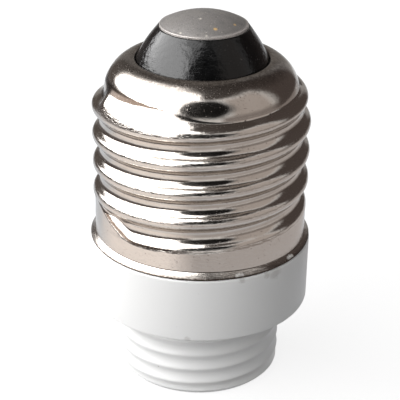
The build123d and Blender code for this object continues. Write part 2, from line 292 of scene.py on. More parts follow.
def thread_radius(height, angle):
    """Rolled thread: tight crests and wider roots that meet smoothly."""
    offset = abs(crest_offset(height, angle, THREAD_FRONT_HEIGHT, THREAD_PITCH))
    if offset < THREAD_PITCH / 2 * CREST_ARC / THREAD_ARCS:
        return CREST_CENTRE + bulge(CREST_ARC, offset)
    return ROOT_CENTRE - bulge(ROOT_ARC, THREAD_PITCH / 2 - offset)


def filled_thread(height, angle):
    """Thread whose last root is filled on the left, where the top crest runs into the shoulder."""
    thread = thread_radius(height, angle)
    last_crest = LAST_CREST_HEIGHT + THREAD_PITCH * (angle - FRONT) / 360
    if height < last_crest:
        return thread
    filled = soft_step(*FILLED_FROM, angle) * (1 - soft_step(*FILLED_TO, angle))
    return thread + (THREAD_RADIUS - thread) * filled


def thread_line(height, angle, front_height):
    """Height of the nearest turn of a line that follows the thread and has this height in front."""
    return height - crest_offset(height, angle, front_height, THREAD_PITCH)


def skirt_top(root_line):
    """Height up to which the plain skirt covers a turn of the root: slanted where the first root starts."""
    before_start = soft_max(ROOT_START - root_line, 0, ROOT_START_TURN)
    return root_line - THREAD_PITCH / 2 + ROOT_START_RISE * before_start


def threaded_side(height, angle):
    """Outside of the skirt and the thread, drawn in towards the top where the thread runs out."""
    thread = filled_thread(height, angle) - SKIRT_RADIUS
    crest_line = thread_line(height, angle, THREAD_FRONT_HEIGHT)
    root_line = thread_line(height, angle, THREAD_FRONT_HEIGHT + THREAD_PITCH / 2)
    crest = THREAD_RADIUS - SKIRT_RADIUS
    root = crest - THREAD_DEPTH
    risen = crest * soft_step(*CREST_FADE, crest_line)
    rolled = root + (thread - root) * (risen - root) / THREAD_DEPTH
    if rolled < 0:
        faint = FAINT_ROOT * soft_step(*FAINT_ROOT_FADE, root_line)
        rolled *= max(soft_step(*ROOT_FADE, root_line), faint)
    if root_line < ROOT_START + ROOT_START_TURN:
        skirt = -ROOT_START_SLOPE * max(height - skirt_top(root_line), 0)
        rolled = soft_max(rolled, skirt, ROOT_START_BLEND)
    return SKIRT_RADIUS + rolled - RUN_OUT_RATE * max(height - RUN_OUT_HEIGHT, 0) ** RUN_OUT_POWER


def shoulder_radius(height):
    """Outside of the round shoulder under the top rim."""
    return SHOULDER_CENTRE + bulge(SHOULDER_ARC, max(height - SHOULDER_HEIGHT, 0))


def shell_radius(height, angle):
    """Outside of the shell between the lip and the dome: whichever of side and shoulder reaches further."""
    return soft_max(threaded_side(height, angle), shoulder_radius(height), SHOULDER_BLEND)


def root_start_shade(height, angle):
    """Painted shade along the edge of the skirt where the first root starts, in place of a dark reflection.
    """
    root_line = thread_line(height, angle, THREAD_FRONT_HEIGHT + THREAD_PITCH / 2)
    edge = skirt_top(root_line)
    if edge >= root_line + THREAD_PITCH / 2 or root_line >= FIRST_ROOT_END:
        return 0
    near = 1 - soft_step(0, ROOT_START_SHADE, abs(height - edge - ROOT_START_SHADE / 2))
    return near * (1 - soft_step(*ROOT_START_SHADE_END, angle))


def shell_painted_shade(height, angle):
    """Painted shade on the shell: dark bands at the thread's ends, round the rim, in the lip's throat and
    under its edge, in place of shade and dark reflections.
    """
    from_throat = abs(height - skirt_foot(angle) + THROAT_SHADE / 2)
    throat = 1 - soft_step(THROAT_SHADE / 2, THROAT_SHADE, from_throat)
    edge = 1 - soft_step(*LIP_EDGE_SHADE, height - COLLAR_TOP)
    crease = 0
    if height > RUN_OUT_HEIGHT:
        apart = abs(threaded_side(height, angle) - shoulder_radius(height))
        width = CREASE_SHADE * (1 + CREASE_SHADE_TIP - soft_step(*CREASE_SHADE_END, angle))
        crease = 1 - soft_step(width / 2, width, apart)
    rim = RIM_SHADE_SHARE * soft_step(RIM_TOP - RIM_SHADE, RIM_TOP, height)
    return max(throat, edge, crease, rim, root_start_shade(height, angle))


def lip_slope(angle):
    """Direction that the lip's flare faces, more upwards where the lip lies flatter."""
    flat = (1 + math.cos(math.radians(angle - LIP_FLATTEST))) / 2
    return LIP_SLOPE + LIP_FLATTENING * soft_step(*LIP_FLAT_SHARES, flat)


def lip_section(angle):
    """Outside of the lip: a round edge on the collar, a sloped flare and a tight throat into the skirt."""
    slope = lip_slope(angle)
    edge = arc_points(FLARE_EDGE, LIP_EDGE, -90, slope, LIP_EDGE_STEPS)
    across = math.cos(math.radians(slope))
    up = math.sin(math.radians(slope))
    throat_radius = SKIRT_RADIUS + LIP_THROAT
    run = (edge[-1][0] + LIP_THROAT * across - throat_radius) / up
    throat = (throat_radius, edge[-1][1] + run * across + LIP_THROAT * up)
    return edge + arc_points(throat, LIP_THROAT, 180 + slope, 180, LIP_THROAT_STEPS)


def skirt_foot(angle):
    """Height at which the lip's throat ends and the skirt begins."""
    return lip_section(angle)[-1][1]


def shell_section(angle):
    """Closed section of the shell's sheet at an angle: up the outside, over the rim and down the inside."""
    shoulder = (SHOULDER_CENTRE, SHOULDER_HEIGHT)
    rim = (RIM_CENTRE, RIM_HEIGHT)
    dome_angle = math.degrees(math.asin((DOME_START - SHOULDER_HEIGHT) / SHOULDER_ARC))
    section = lip_section(angle)
    foot = section.pop()[1]
    for height in even_steps(foot, DOME_START, SHELL_THREAD_ROWS):
        section.append((shell_radius(height, angle), height))
    section += arc_points(shoulder, SHOULDER_ARC, dome_angle, RIM_ANGLE, DOME_STEPS)[1:]
    section += arc_points(rim, RIM_ARC, RIM_ANGLE, 180, RIM_STEPS)[1:]
    section += [(HOLE_RADIUS, HOLE_FOOT), (HOLE_RADIUS + SHEET, HOLE_FOOT)]
    section += arc_points(rim, RIM_ARC - SHEET, 180, RIM_ANGLE, RIM_INSIDE_STEPS)
    section += arc_points(shoulder, SHOULDER_ARC - SHEET, RIM_ANGLE, dome_angle, DOME_INSIDE_STEPS)[1:]
    for height in even_steps(DOME_START, foot, SHELL_INSIDE_ROWS)[1:]:
        section.append((shell_radius(height, angle) - SHEET, height))
    section.append((FLARE_EDGE[0] - SHEET, COLLAR_TOP))
    return section


def neck_radius(height, angle):
    """Outside of the neck: a shallow ridge that winds up to the collar between wide hollow roots."""
    offset = crest_offset(height, angle, NECK_RIDGE_FRONT, NECK_RIDGE_PITCH)
    share = math.hypot(2 * offset / NECK_RIDGE_PITCH, NECK_CREST_SHARE)
    ridge = NECK_RIDGE_HEIGHT * ((1 - share) / (1 - NECK_CREST_SHARE)) ** 2
    chamfer = NECK_RADIUS - NECK_END_STEP + height
    return soft_min(NECK_RADIUS + ridge, chamfer, NECK_END_BLEND)


def body_section(angle):
    """Section of the white body from the axis at its foot to the axis at the spigot's top."""
    low = (COLLAR_RADIUS - COLLAR_DRAFT - COLLAR_EDGE, NECK_LENGTH + COLLAR_EDGE)
    high = (COLLAR_RADIUS - COLLAR_EDGE, COLLAR_TOP - COLLAR_EDGE)
    section = [(0, BODY_FOOT)]
    for height in even_steps(BODY_FOOT, NECK_LENGTH, NECK_ROWS):
        section.append((neck_radius(height, angle), height))
    section += arc_points(low, COLLAR_EDGE, -90, 0, COLLAR_EDGE_STEPS)
    section += arc_points(high, COLLAR_EDGE, 0, 90, COLLAR_EDGE_STEPS)
    section += [(SEAT_RADIUS, COLLAR_TOP), (SEAT_RADIUS, SEAT_TOP)]
    section += [(SPIGOT_RADIUS, SEAT_TOP), (SPIGOT_RADIUS, SPIGOT_TOP), (0, SPIGOT_TOP)]
    return section


def insulator_section(angle):
    """Closed section of the insulator: inner flange, plug, cone and the bore for the contact's shank."""
    bore = SHANK_RADIUS + SHANK_ROOM
    edge = (CONE_TOP_RADIUS - CONE_EDGE, CONE_TOP - CONE_EDGE)
    slope = math.degrees(math.atan2(PLUG_RADIUS - CONE_TOP_RADIUS, CONE_TOP - CONE_FOOT))
    rounding = arc_points(edge, CONE_EDGE, slope, 90, CONE_EDGE_STEPS)
    section = [(bore, INSULATOR_FOOT), (FLANGE_RADIUS, INSULATOR_FOOT), (FLANGE_RADIUS, HOLE_FOOT)]
    section.append((PLUG_RADIUS, HOLE_FOOT))
    for share in even_steps(0, 1, CONE_ROWS)[:-1]:
        radius = PLUG_RADIUS + (rounding[0][0] - PLUG_RADIUS) * share
        radius += CONE_BULGE * 4 * share * (1 - share)
        section.append((radius, CONE_FOOT + (rounding[0][1] - CONE_FOOT) * share))
    section += rounding
    section.append((bore, CONE_TOP))
    return section


def contact_section(angle):
    """Section of the contact from the top of its dome over the rim and down the shank into its bore."""
    apex = CONTACT_TOP - CONTACT_WEAR
    crown = apex - CONE_TOP - CONTACT_EDGE
    dome = (CONTACT_RADIUS**2 + crown**2) / (2 * crown)
    section = []
    edge_radius = CONTACT_RADIUS - CONTACT_ROUNDING
    for radius in even_steps(0, edge_radius, CONTACT_ROWS):
        section.append((radius, apex - dome + bulge(dome, radius)))
    edge = (edge_radius, section[-1][1] - CONTACT_ROUNDING)
    section += arc_points(edge, CONTACT_ROUNDING, CONTACT_ROUNDING_START, 0, CONTACT_EDGE_STEPS)
    section += [(CONTACT_RADIUS, CONE_TOP), (SHANK_RADIUS, CONE_TOP), (SHANK_RADIUS, SHANK_FOOT)]
    section += [(SHANK_BORE, SHANK_FOOT), (SHANK_BORE, SHANK_BORE_TOP), (0, SHANK_BORE_TOP)]
    return section


def uneven(point, size, depth):
    """Slight in and out movement of a surface at a point, in waves of a size and depth."""
    return depth * noise.noise(Vector(point) / size)


def turned_mesh(name, section_at, steps, waves, closed):
    """Mesh of sections set round the axis, each a little uneven so that reflections aren't perfect."""
    points = []
    for step in range(steps):
        degrees = 360 * step / steps
        across = (math.cos(math.radians(degrees)), math.sin(math.radians(degrees)))
        for radius, height in section_at(degrees):
            place = (radius * across[0], radius * across[1], height)
            reach = max(radius + uneven(place, *waves), 0) if radius else 0
            points.append((reach * across[0] * MM, reach * across[1] * MM, height * MM))
    rows = len(points) // steps
    faces = []
    for step in range(steps):
        here = step * rows
        beside = (step + 1) % steps * rows
        for row in range(rows if closed else rows - 1):
            above = (row + 1) % rows
            faces.append((here + row, beside + row, beside + above, here + above))
    mesh = bpy.data.meshes.new(name)
    mesh.from_pydata(points, [], faces)
    return cleaned(mesh)


def cleaned(mesh):
    """Mesh with doubled points joined, faces turned outwards and only real corners sharp."""
    form = bmesh.new()
    form.from_mesh(mesh)
    bmesh.ops.remove_doubles(form, verts=form.verts, dist=JOIN_GAP * MM)
    bmesh.ops.dissolve_degenerate(form, edges=form.edges, dist=SHORTEST_EDGE * MM)
    bmesh.ops.recalc_face_normals(form, faces=form.faces)
    form.to_mesh(mesh)
    form.free()
    mesh.shade_smooth()
    mesh.set_sharp_from_angle(angle=math.radians(SHARP_EDGE))
    return mesh


def leaned(mesh):
    """Mesh set slightly askew above the foot of the cone, as the insulator was pressed in."""
    for point in mesh.vertices:
        point.co.x += CONE_LEAN * max(point.co.z - CONE_FOOT * MM, 0)
    return mesh


def with_painted_shade(mesh):
    """Shell mesh that notes on each point how much painted shade lies there."""
    amounts = []
    for point in mesh.vertices:
        angle = math.degrees(math.atan2(point.co.y, point.co.x)) % 360
        amounts.append(shell_painted_shade(point.co.z / MM, angle))
    mesh.attributes.new("painted_shade", "FLOAT", "POINT").data.foreach_set("value", amounts)
    return mesh


def add_piece(mesh, node, material):
    """Shows a mesh in place of a CAD node, on the adapter's one body."""
    piece = bpy.data.objects.new(mesh.name, mesh)
    bpy.context.scene.collection.objects.link(piece)
    mesh.materials.append(material)
    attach(piece, "root")
    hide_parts(node)
    return piece


def rounded_prism(name, size, centre_x, foot, top):
    """Upright cutter with a rounded rectangle as its outline."""
    length, width, corner = size
    outline = []
    for turn in range(4):
        x = (length / 2 - corner) * (1 if turn in (0, 3) else -1)
        y = (width / 2 - corner) * (1 if turn in (0, 1) else -1)
        outline += arc_points((centre_x + x, y), corner, 90 * turn, 90 * turn + 90, CORNER_STEPS)
    form = bmesh.new()
    face = form.faces.new([form.verts.new((x * MM, y * MM, foot * MM)) for x, y in outline])
    raised = bmesh.ops.extrude_face_region(form, geom=[face])["geom"]
    lifted = [part for part in raised if isinstance(part, bmesh.types.BMVert)]
    bmesh.ops.translate(form, verts=lifted, vec=(0, 0, (top - foot) * MM))
    bmesh.ops.recalc_face_normals(form, faces=form.faces)
    mesh = bpy.data.meshes.new(name)
    form.to_mesh(mesh)
    form.free()
    cutter = bpy.data.objects.new(name, mesh)
    bpy.context.scene.collection.objects.link(cutter)
    return cutter


def cut_mesh(mesh, cutters):
    """Mesh with the cutters taken out of it. The cutters are used up."""
    blank = bpy.data.objects.new("blank", mesh)
    bpy.context.scene.collection.objects.link(blank)
    for cutter in cutters:
        cut = blank.modifiers.new(cutter.name, "BOOLEAN")
        cut.operation = "DIFFERENCE"
        cut.solver = "EXACT"
        cut.object = cutter
    shaped = blank.evaluated_get(bpy.context.evaluated_depsgraph_get())
    result = bpy.data.meshes.new_from_object(shaped)
    result.name = mesh.name + "_cut"
    for used in (blank, *cutters):
        bpy.data.objects.remove(used)
    return cleaned(result)


def body_mesh():
    """White body with the lamp pocket, the pin slots and the clip chambers."""
    solid = turned_mesh("white_body", body_section, BODY_STEPS, BODY_WAVES, closed=False)
    cutters = [rounded_prism("pocket", POCKET, 0, BODY_FOOT - 1, POCKET_DEPTH)]
    for side in (-1, 1):
        x = side * PIN_SPACING / 2
        cutters.append(rounded_prism("pin_slot", PIN_SLOT, x, POCKET_DEPTH - 1, CHAMBER_FOOT + 1))
        cutters.append(rounded_prism("clip_chamber", CHAMBER, x, CHAMBER_FOOT, SPIGOT_TOP + 1))
    return cut_mesh(solid, cutters)


def add_node(tree, kind, values=None, **settings):
    """Shader node of a kind, with its settings and the values of its unlinked inputs."""
    made = tree.nodes.new(kind)
    for name, value in settings.items():
        setattr(made, name, value)
    for name, value in (values or {}).items():
        made.inputs[name].default_value = value
    return made


def feed(tree, socket, source):
    """Links a socket to another node's output, or sets it to a plain value."""
    if isinstance(source, bpy.types.NodeSocket):
        tree.links.new(source, socket)
    else:
        socket.default_value = source


def compute(tree, operation, *sources):
    """Output of a math node."""
    made = add_node(tree, "ShaderNodeMath", operation=operation)
    for index, source in enumerate(sources):
        feed(tree, made.inputs[index], source)
    return made.outputs[0]


def remap(tree, value, low, high, to_low=0.0, to_high=1.0):
    """Value moved from one range to another and held inside it."""
    made = add_node(tree, "ShaderNodeMapRange")
    names = ("Value", "From Min", "From Max", "To Min", "To Max")
    for name, source in zip(names, (value, low, high, to_low, to_high)):
        feed(tree, made.inputs[name], source)
    return made.outputs["Result"]


def mix_colour(tree, share, first, second):
    """Colour between two colours."""
    made = add_node(tree, "ShaderNodeMix", data_type="RGBA")
    for index, source in ((0, share), (6, first), (7, second)):
        feed(tree, made.inputs[index], source)
    return made.outputs[2]


def add_bump(tree, height, depth, normal=None):
    """Normal of a surface raised by a height between 0 and 1, times a depth."""
    made = add_node(tree, "ShaderNodeBump", {"Distance": depth * MM})
    feed(tree, made.inputs["Height"], height)
    if normal:
        feed(tree, made.inputs["Normal"], normal)
    return made.outputs["Normal"]


def object_point(tree):
    """Place on the object in millimetres."""
    source = add_node(tree, "ShaderNodeTexCoord")
    scaled = add_node(tree, "ShaderNodeVectorMath", operation="SCALE")
    feed(tree, scaled.inputs[0], source.outputs["Object"])
    feed(tree, scaled.inputs["Scale"], 1 / MM)
    return scaled.outputs[0]


def new_group(name, inputs, output):
    """Empty shader group with its inputs and one output, and those sockets from the inside."""
    tree = bpy.data.node_groups.new(name, "ShaderNodeTree")
    for label, value in inputs.items():
        kind = "NodeSocketFloat" if isinstance(value, float) else "NodeSocketVector"
        socket = tree.interface.new_socket(label, in_out="INPUT", socket_type=kind)
        socket.default_value = value
    tree.interface.new_socket(output, in_out="OUTPUT", socket_type="NodeSocketFloat")
    entry = tree.nodes.new("NodeGroupInput")
    leave = tree.nodes.new("NodeGroupOutput")
    return tree, entry.outputs, leave.inputs[output]


def place_group(tree, group, **values):
    """Output of a group placed in a material with its own values."""
    made = add_node(tree, "ShaderNodeGroup", node_tree=group)
    for name, value in values.items():
        made.inputs[name.capitalize()].default_value = value
    return made.outputs[0]


def noise_at(tree, vector, scale, detail=2.0):
    """Even noise at a place."""
    made = add_node(tree, "ShaderNodeTexNoise", {"Detail": detail})
    feed(tree, made.inputs["Vector"], vector)
    feed(tree, made.inputs["Scale"], scale)
    return made.outputs["Fac"]


def specks_group():
    """Scattered specks of one size, from few to many."""
    tree, given, mask = new_group("specks", {"Size": 0.3, "Threshold": 0.65, "Softness": 0.05}, "Mask")
    scale = compute(tree, "DIVIDE", 1.0, given["Size"])
    value = noise_at(tree, object_point(tree), scale)
    end = compute(tree, "ADD", given["Threshold"], given["Softness"])
    feed(tree, mask, remap(tree, value, given["Threshold"], end))
    return tree


def smudge_group():
    """Slow uneven change over a surface, as from handling."""
    tree, given, mask = new_group("smudge", {"Size": 3.0, "Contrast": 0.2}, "Mask")
    scale = compute(tree, "DIVIDE", 1.0, given["Size"])
    value = noise_at(tree, object_point(tree), scale, 4.0)
    low = compute(tree, "SUBTRACT", 0.5, given["Contrast"])
    high = compute(tree, "ADD", 0.5, given["Contrast"])
    feed(tree, mask, remap(tree, value, low, high))
    return tree


def streaks_group():
    """Fine lines round the axis, as turning and handling leave them."""
    tree, given, mask = new_group("streaks", {"Length": 4.0, "Width": 0.08, "Threshold": 0.6}, "Mask")
    parts = add_node(tree, "ShaderNodeSeparateXYZ")
    feed(tree, parts.inputs[0], object_point(tree))
    turn = compute(tree, "ARCTAN2", parts.outputs["Y"], parts.outputs["X"])
    along = compute(tree, "DIVIDE", compute(tree, "MULTIPLY", turn, THREAD_RADIUS), given["Length"])
    across = compute(tree, "DIVIDE", parts.outputs["Z"], given["Width"])
    flat = add_node(tree, "ShaderNodeCombineXYZ")
    feed(tree, flat.inputs["X"], along)
    feed(tree, flat.inputs["Y"], across)
    value = noise_at(tree, flat.outputs[0], 1.0)
    end = compute(tree, "ADD", given["Threshold"], 0.12)
    feed(tree, mask, remap(tree, value, given["Threshold"], end))
    return tree


def mark_group():
    """One ragged spot at a place."""
    tree, given, mask = new_group("mark", {"Centre": (0.0, 0.0, 0.0), "Size": 1.0}, "Mask")
    point = object_point(tree)
    gap = add_node(tree, "ShaderNodeVectorMath", operation="DISTANCE")
    feed(tree, gap.inputs[0], point)
    feed(tree, gap.inputs[1], given["Centre"])
    ragged = noise_at(tree, point, compute(tree, "DIVIDE", 2.0, given["Size"]))
    wander = compute(tree, "MULTIPLY", compute(tree, "SUBTRACT", ragged, 0.5), given["Size"])
    reach = compute(tree, "ADD", gap.outputs["Value"], wander)
    feed(tree, mask, remap(tree, reach, given["Size"], compute(tree, "MULTIPLY", given["Size"], 0.4)))
    return tree


SPECKS = specks_group()
SMUDGE = smudge_group()
STREAKS = streaks_group()
MARK = mark_group()


def new_material(name):
    """Material with its node tree and its one shader."""
    material = bpy.data.materials.new(name)
    material.use_nodes = True
    tree = material.node_tree
    return material, tree, tree.nodes["Principled BSDF"].inputs


def marks(tree, places):
    """Single marks, each at an angle, a radius and a height and of a size."""
    mask = 0.0
    for angle, radius, height, size in places:
        turn = math.radians(angle)
        centre = (radius * math.cos(turn), radius * math.sin(turn), height)
        mask = compute(tree, "MAXIMUM", mask, place_group(tree, MARK, centre=centre, size=size))
    return mask


def radius_on_object(tree):
    """Distance from the axis in millimetres."""
    parts = add_node(tree, "ShaderNodeSeparateXYZ")
    feed(tree, parts.inputs[0], object_point(tree))
    flat = add_node(tree, "ShaderNodeCombineXYZ")
    feed(tree, flat.inputs["X"], parts.outputs["X"])
    feed(tree, flat.inputs["Y"], parts.outputs["Y"])
    length = add_node(tree, "ShaderNodeVectorMath", operation="LENGTH")
    feed(tree, length.inputs[0], flat.outputs[0])
    return length.outputs["Value"]


def nickel_plate():
    """Bright rolled nickel: brown film, painted shade and dark reflections in the throat, creases and round
    the rim, pits, scuffed crests, lip nicks painted as bright glints and a wavy polish.
    """
    material, tree, shader = new_material("nickel_plate")
    radius = radius_on_object(tree)
    smudge = place_group(tree, SMUDGE, size=2.5, contrast=0.25)
    pits = place_group(tree, SPECKS, size=0.2, threshold=0.66, softness=0.06)
    groove = remap(tree, radius, *GROOVE_FILM)
    film = compute(tree, "MULTIPLY", groove, compute(tree, "MULTIPLY", smudge, 0.5))
    plate = mix_colour(tree, film, (0.6, 0.558, 0.518, 1), (0.45, 0.4, 0.355, 1))
    # Painted highlight: each lip nick is a pale non-metal spot, in place of the glint that a small dent
    # catches
    nick_glints = marks(tree, LIP_NICK_GLINTS)
    worn = mix_colour(tree, nick_glints, plate, (0.93, 0.91, 0.88, 1))
    # Painted shade: mottled near-black brown laid over the plate where the shade attribute is high, in place
    # of shade and dark reflections
    painted_shade = add_node(tree, "ShaderNodeAttribute", attribute_name="painted_shade").outputs["Fac"]
    patchy = remap(tree, place_group(tree, SMUDGE, size=0.35, contrast=0.3), 0.0, 1.0, 0.35, 0.0)
    painted_shade = remap(tree, compute(tree, "SUBTRACT", painted_shade, patchy), 0.0, 0.65)
    shaded_plate = mix_colour(tree, painted_shade, worn, (0.05, 0.037, 0.029, 1))
    shader["Specular IOR Level"].default_value = 0.06
    feed(tree, shader["Base Color"], mix_colour(tree, pits, shaded_plate, (0.24, 0.2, 0.18, 1)))
    feed(tree, shader["Metallic"], compute(tree, "SUBTRACT", 1.0, nick_glints))
    crest = remap(tree, radius, *CREST_SCUFFS)
    scuffs = place_group(tree, STREAKS, length=1.2, width=0.13, threshold=0.45)
    scuffs = compute(tree, "MULTIPLY", scuffs, crest)
    satin = remap(tree, smudge, 0.0, 1.0, 0.09, 0.15)
    satin = compute(tree, "ADD", satin, compute(tree, "MULTIPLY", scuffs, 0.06))
    dull = compute(tree, "MULTIPLY", compute(tree, "MAXIMUM", nick_glints, painted_shade), 0.15)
    satin = compute(tree, "ADD", satin, dull)
    feed(tree, shader["Roughness"], compute(tree, "ADD", satin, compute(tree, "MULTIPLY", pits, 0.2)))
    ripple = place_group(tree, SMUDGE, size=0.45, contrast=0.3)
    normal = add_bump(tree, ripple, 0.005)
    normal = add_bump(tree, scuffs, 0.005, normal)
    feed(tree, shader["Normal"], add_bump(tree, pits, -0.003, normal))
    return material


def white_moulding():
    """Glossy white moulding with faint grey handling marks and a few dark specks."""
    material, tree, shader = new_material("white_moulding")
    smudge = place_group(tree, SMUDGE, size=6.0, contrast=0.25)
    grime = place_group(tree, SPECKS, size=0.3, threshold=0.78, softness=0.04)
    clean = mix_colour(tree, smudge, (0.842, 0.842, 0.838, 1), (0.836, 0.836, 0.83, 1))
    grime = compute(tree, "MAXIMUM", grime, marks(tree, BODY_SPECKS))
    smears = compute(tree, "MULTIPLY", marks(tree, BODY_SMUDGES), 0.5)
    handled = mix_colour(tree, smears, clean, (0.5, 0.48, 0.46, 1))
    feed(tree, shader["Base Color"], mix_colour(tree, grime, handled, (0.5, 0.46, 0.42, 1)))
    feed(tree, shader["Roughness"], remap(tree, smudge, 0.0, 1.0, 0.3, 0.33))
    ripple = place_group(tree, SMUDGE, size=0.9, contrast=0.3)
    feed(tree, shader["Normal"], add_bump(tree, ripple, 0.0015))
    return material


def black_insulator():
    """Glossy black with a rippled skin, fine lines and pale scuffs."""
    material, tree, shader = new_material("black_insulator")
    smudge = place_group(tree, SMUDGE, size=1.6, contrast=0.2)
    scuffs = place_group(tree, SPECKS, size=0.25, threshold=0.7, softness=0.05)
    skin = mix_colour(tree, smudge, (0.002, 0.002, 0.0022, 1), (0.004, 0.004, 0.0042, 1))
    feed(tree, shader["Base Color"], mix_colour(tree, scuffs, skin, (0.07, 0.065, 0.06, 1)))
    shader["IOR"].default_value = 1.4
    feed(tree, shader["Roughness"], remap(tree, smudge, 0.0, 1.0, 0.12, 0.2))
    ripple = place_group(tree, SMUDGE, size=0.7, contrast=0.35)
    normal = add_bump(tree, ripple, 0.04)
    streaks = place_group(tree, STREAKS, length=2.0, width=0.12, threshold=0.55)
    feed(tree, shader["Normal"], add_bump(tree, streaks, 0.004, normal))
    return material


def satin_contact():
    """Dull satin nickel, pitted, with bright and brassy specks where it has worn and a painted highlight
    round its rim.
    """
    material, tree, shader = new_material("satin_contact")
    smudge = place_group(tree, SMUDGE, size=1.4, contrast=0.2)
    pits = place_group(tree, SPECKS, size=0.14, threshold=0.57, softness=0.08)
    bright = place_group(tree, SPECKS, size=0.16, threshold=0.68, softness=0.05)
    # Painted highlight: lighter colour at the rim
    rim = remap(tree, radius_on_object(tree), *RIM_HIGHLIGHT)
    dull = mix_colour(tree, smudge, (0.26, 0.244, 0.232, 1), (0.2, 0.19, 0.185, 1))
    dull = mix_colour(tree, rim, dull, (0.42, 0.39, 0.37, 1))
    pitted = mix_colour(tree, compute(tree, "MULTIPLY", pits, 0.6), dull, (0.08, 0.072, 0.068, 1))
    brassy = mix_colour(tree, marks(tree, BRASSY_SPOTS), pitted, (0.75, 0.5, 0.22, 1))
    bright = compute(tree, "MAXIMUM", bright, marks(tree, BRIGHT_SPOTS))
    feed(tree, shader["Base Color"], mix_colour(tree, bright, brassy, (0.6, 0.56, 0.5, 1)))
    shader["Metallic"].default_value = 0.3
    feed(tree, shader["Roughness"], remap(tree, smudge, 0.0, 1.0, 0.36, 0.46))
    ripple = place_group(tree, SMUDGE, size=0.35, contrast=0.3)
    normal = add_bump(tree, ripple, 0.016)
    feed(tree, shader["Normal"], add_bump(tree, pits, -0.014, normal))
    return material


def bare_metal(name, light, dark, roughness):
    """Plain bare metal with a patchy dull film."""
    material, tree, shader = new_material(name)
    film = place_group(tree, SMUDGE, size=1.2, contrast=0.2)
    lines = place_group(tree, STREAKS, length=1.5, width=0.06, threshold=0.55)
    feed(tree, shader["Base Color"], mix_colour(tree, film, light, dark))
    shader["Metallic"].default_value = 1.0
    feed(tree, shader["Roughness"], remap(tree, film, 0.0, 1.0, roughness, roughness + 0.15))
    feed(tree, shader["Normal"], add_bump(tree, lines, 0.002))
    return material


def pale_sleeve():
    """Matt woven-looking insulating sleeve."""
    material, tree, shader = new_material("pale_sleeve")
    weave = place_group(tree, SPECKS, size=0.12, threshold=0.5, softness=0.1)
    smudge = place_group(tree, SMUDGE, size=2.0, contrast=0.25)
    clean = mix_colour(tree, smudge, (0.78, 0.76, 0.72, 1), (0.66, 0.63, 0.58, 1))
    gaps = compute(tree, "MULTIPLY", weave, 0.2)
    feed(tree, shader["Base Color"], mix_colour(tree, gaps, clean, (0.5, 0.47, 0.42, 1)))
    shader["Roughness"].default_value = 0.75
    feed(tree, shader["Normal"], add_bump(tree, weave, 0.01))
    return material


def repaint(node, material):
    """Gives a carried-over CAD node its finish."""
    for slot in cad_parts[node].material_slots:
        slot.material = material


def add_pieces():
    """Every shown piece of the adapter with its finish."""
    nickel = nickel_plate()
    shell = turned_mesh("rolled_shell", shell_section, SHELL_STEPS, SHELL_WAVES, closed=True)
    add_piece(with_painted_shade(shell), "screw_shell", nickel)
    add_piece(body_mesh(), "socket_body", white_moulding())
    cone = turned_mesh("insulator_cone", insulator_section, TURNED_STEPS, CONE_WAVES, closed=True)
    add_piece(leaned(cone), "contact_insulator", black_insulator())
    contact = turned_mesh("contact_disc", contact_section, TURNED_STEPS, CONTACT_WAVES, closed=False)
    add_piece(leaned(contact), "centre_contact", satin_contact())
    bronze = bare_metal("clip_bronze", (0.62, 0.43, 0.23, 1), (0.45, 0.3, 0.16, 1), 0.28)
    copper = bare_metal("lead_copper", (0.75, 0.42, 0.27, 1), (0.5, 0.26, 0.16, 1), 0.3)
    sleeving = pale_sleeve()
    for side in ("left", "right"):
        repaint("contact_clip_" + side, bronze)
    for lead in ("centre_lead", "shell_lead"):
        repaint(lead, copper)
        repaint(lead + "_sleeve", sleeving)


def towards(azimuth, elevation):
    """Direction from the object. Azimuth 0 is towards the camera and grows to the right."""
    across = math.cos(math.radians(elevation))
    turn = math.radians(azimuth)
    return Vector((across * math.sin(turn), -across * math.cos(turn), math.sin(math.radians(elevation))))


def add_camera():
    """Camera at the photo's viewing angle."""
    tilt = math.radians(CAMERA_ELEVATION)
    roll = math.radians(CAMERA_ROLL)
    backward = towards(0, CAMERA_ELEVATION)
    level = Vector((1, 0, 0))
    upright = Vector((0, math.sin(tilt), math.cos(tilt)))
    right = math.cos(roll) * level + math.sin(roll) * upright
    up = math.cos(roll) * upright - math.sin(roll) * level
    data = bpy.data.cameras.new("photo_camera")
    data.sensor_width = CAMERA_FIELD
    data.lens = CAMERA_LENS
    data.clip_start = CAMERA_NEAR * MM
    camera = bpy.data.objects.new("photo_camera", data)
    bpy.context.scene.collection.objects.link(camera)
    turned = Matrix((right, up, backward)).transposed().to_4x4()
    place = (Vector(CAMERA_TARGET) + CAMERA_DISTANCE * backward) * MM
    camera.matrix_world = Matrix.Translation(place) @ turned
    bpy.context.scene.camera = camera


def seen_directly(tree):
    """1 for rays from the camera and for those that metal, gloss or glass sends on, and 0 for the rest."""
    path = add_node(tree, "ShaderNodeLightPath")
    shown = compute(tree, "MAXIMUM", path.outputs["Is Camera Ray"], path.outputs["Is Glossy Ray"])
    return compute(tree, "MAXIMUM", shown, path.outputs["Is Transmission Ray"])


def add_world():
    """White surroundings that light the object only softly."""
    world = bpy.data.worlds.new("white_room")
    world.use_nodes = True
    tree = world.node_tree
    level = remap(tree, seen_directly(tree), 0.0, 1.0, FILL_LEVEL, 1.0)
    feed(tree, tree.nodes["Background"].inputs["Strength"], level)
    tree.nodes["Background"].inputs["Color"].default_value = (1, 1, 1, 1)
    bpy.context.scene.world = world


